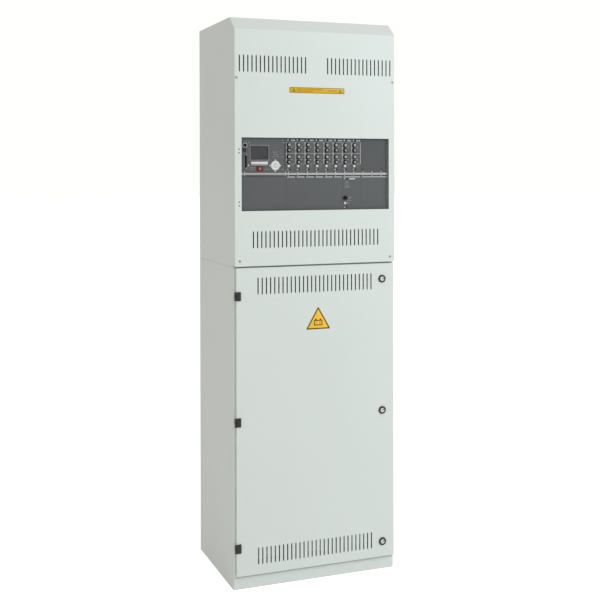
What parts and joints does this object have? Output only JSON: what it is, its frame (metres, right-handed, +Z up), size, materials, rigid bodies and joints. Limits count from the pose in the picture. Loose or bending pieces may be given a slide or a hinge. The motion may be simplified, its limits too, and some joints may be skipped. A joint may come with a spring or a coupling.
{
  "type": "central battery supply cabinet",
  "caption": "Floor-standing emergency power cabinet: a hinged, vented battery cabinet under an electronics cabinet with a window on rack-height plug-in units.",
  "frame": {"origin": "on the floor, under the middle of the cabinet's box", "axes": "+Z up, +Y to the rear, +X to the right as seen from the front"},
  "size_m": [0.64, 0.47, 2.08],
  "materials": {
    "cabinet_paint": "satin",
    "zinc_sheet": "satin",
    "lock_steel": "satin",
    "black_die_cast": "satin",
    "black_plastic": "satin",
    "seal_rubber": "matte",
    "battery_case": "satin",
    "panel_grey": "satin",
    "rail_aluminium": "brushed",
    "display_glass": "gloss",
    "white_plastic": "satin",
    "red_plastic": "satin",
    "terminal_plastic": "matte",
    "circuit_board": "satin",
    "sign_yellow": "satin",
    "printed_white": "matte",
    "fuse_cap": "satin",
    "terminal_lead": "satin",
    "link_copper": "satin"
  },
  "bodies": {
    "cabinet": {"lower_shell": "cabinet_paint", "lower_base": "zinc_sheet", "lower_back_panel": "cabinet_paint", "upper_shell": "cabinet_paint", "upper_back_panel": "cabinet_paint", "front_cover": "cabinet_paint", "subrack_frame": "panel_grey", "middle_rail": "rail_aluminium", "backplane": "circuit_board", "terminal_strip": "terminal_plastic", "control_panel": "panel_grey", "display_window": "display_glass", "keyboard_socket": "black_plastic", "printer_connector": "black_plastic", "charger_module": "panel_grey", "blank_upper_right": "panel_grey", "blank_lower_left": "panel_grey", "blank_lower_middle": "panel_grey", "blank_lower_right": "panel_grey", "battery_shelf_middle": "zinc_sheet", "battery_shelf_top": "zinc_sheet", "hinge_frame_leaf_bottom": "black_die_cast", "battery_string_bottom": "battery_case", "hinge_frame_leaf_middle": "black_die_cast", "battery_string_middle": "battery_case", "hinge_frame_leaf_top": "black_die_cast", "battery_string_top": "battery_case", "circuit_module_1": "panel_grey", "circuit_module_2": "panel_grey", "circuit_module_3": "panel_grey", "circuit_module_4": "panel_grey", "circuit_module_5": "panel_grey", "circuit_module_6": "panel_grey", "circuit_module_7": "panel_grey", "circuit_module_8": "panel_grey"},
    "door": {"battery_door": "cabinet_paint", "door_gasket": "seal_rubber", "hinge_door_leaf_bottom": "black_die_cast", "hinge_door_leaf_middle": "black_die_cast", "hinge_door_leaf_top": "black_die_cast", "lock_housing_bottom": "black_plastic", "lock_housing_middle": "black_plastic", "lock_housing_top": "black_plastic"},
    "lock_bottom": {"lock_core_bottom": "lock_steel"},
    "lock_middle": {"lock_core_middle": "lock_steel"},
    "lock_top": {"lock_core_top": "lock_steel"},
    "softkey": {"softkey_bar": "white_plastic"},
    "red_key": {"red_button": "red_plastic"},
    "nav_gimbal": {"nav_gimbal": "black_plastic"},
    "nav_ring": {"nav_ring": "white_plastic"},
    "nav_ok": {"nav_ok_button": "white_plastic"},
    "info_key_1": {"info_button_1": "white_plastic"},
    "info_key_2": {"info_button_2": "white_plastic"},
    "info_key_3": {"info_button_3": "white_plastic"},
    "info_key_4": {"info_button_4": "white_plastic"},
    "info_key_5": {"info_button_5": "white_plastic"},
    "info_key_6": {"info_button_6": "white_plastic"},
    "info_key_7": {"info_button_7": "white_plastic"},
    "info_key_8": {"info_button_8": "white_plastic"},
    "charger_key": {"charger_button": "white_plastic"}
  },
  "joints": [
    {"name": "door_hinge", "type": "hinge", "parent": "cabinet", "child": "door", "pos_m": [-0.3162, -0.2315, 0.609], "axis": [0, 0, -1], "range_deg": [0, 120]},
    {"name": "lock_bottom_turn", "type": "hinge", "parent": "door", "child": "lock_bottom", "pos_m": [0.2666, -0.23, 0.1095], "axis": [0, -1, 0], "range_deg": [0, 90]},
    {"name": "lock_middle_turn", "type": "hinge", "parent": "door", "child": "lock_middle", "pos_m": [0.2666, -0.23, 0.609], "axis": [0, -1, 0], "range_deg": [0, 90]},
    {"name": "lock_top_turn", "type": "hinge", "parent": "door", "child": "lock_top", "pos_m": [0.2666, -0.23, 1.1085], "axis": [0, -1, 0], "range_deg": [0, 90]},
    {"name": "red_button_press", "type": "slide", "parent": "cabinet", "child": "red_key", "axis": [0, 1, 0], "range_m": [0, 0.002], "stiffness_N_per_m": 300},
    {"name": "softkey_press", "type": "slide", "parent": "cabinet", "child": "softkey", "axis": [0, 1, 0], "range_m": [0, 0.001], "stiffness_N_per_m": 300},
    {"name": "nav_tilt_sideways", "type": "hinge", "parent": "cabinet", "child": "nav_gimbal", "pos_m": [-0.16, -0.217, 1.5383], "axis": [0, 0, 1], "range_deg": [-4, 4], "stiffness_Nm_per_rad": 0.1},
    {"name": "nav_tilt_updown", "type": "hinge", "parent": "nav_gimbal", "child": "nav_ring", "pos_m": [-0.16, -0.217, 1.5383], "axis": [1, 0, 0], "range_deg": [-4, 4], "stiffness_Nm_per_rad": 0.1},
    {"name": "nav_ok_press", "type": "slide", "parent": "nav_ring", "child": "nav_ok", "axis": [0, 1, 0], "range_m": [0, 0.0012], "stiffness_N_per_m": 200},
    {"name": "info_1_press", "type": "slide", "parent": "cabinet", "child": "info_key_1", "axis": [0, 1, 0], "range_m": [0, 0.0015], "stiffness_N_per_m": 200},
    {"name": "info_2_press", "type": "slide", "parent": "cabinet", "child": "info_key_2", "axis": [0, 1, 0], "range_m": [0, 0.0015], "stiffness_N_per_m": 200},
    {"name": "info_3_press", "type": "slide", "parent": "cabinet", "child": "info_key_3", "axis": [0, 1, 0], "range_m": [0, 0.0015], "stiffness_N_per_m": 200},
    {"name": "info_4_press", "type": "slide", "parent": "cabinet", "child": "info_key_4", "axis": [0, 1, 0], "range_m": [0, 0.0015], "stiffness_N_per_m": 200},
    {"name": "info_5_press", "type": "slide", "parent": "cabinet", "child": "info_key_5", "axis": [0, 1, 0], "range_m": [0, 0.0015], "stiffness_N_per_m": 200},
    {"name": "info_6_press", "type": "slide", "parent": "cabinet", "child": "info_key_6", "axis": [0, 1, 0], "range_m": [0, 0.0015], "stiffness_N_per_m": 200},
    {"name": "info_7_press", "type": "slide", "parent": "cabinet", "child": "info_key_7", "axis": [0, 1, 0], "range_m": [0, 0.0015], "stiffness_N_per_m": 200},
    {"name": "info_8_press", "type": "slide", "parent": "cabinet", "child": "info_key_8", "axis": [0, 1, 0], "range_m": [0, 0.0015], "stiffness_N_per_m": 200},
    {"name": "charger_press", "type": "slide", "parent": "cabinet", "child": "charger_key", "axis": [0, 1, 0], "range_m": [0, 0.0015], "stiffness_N_per_m": 200}
  ]
}
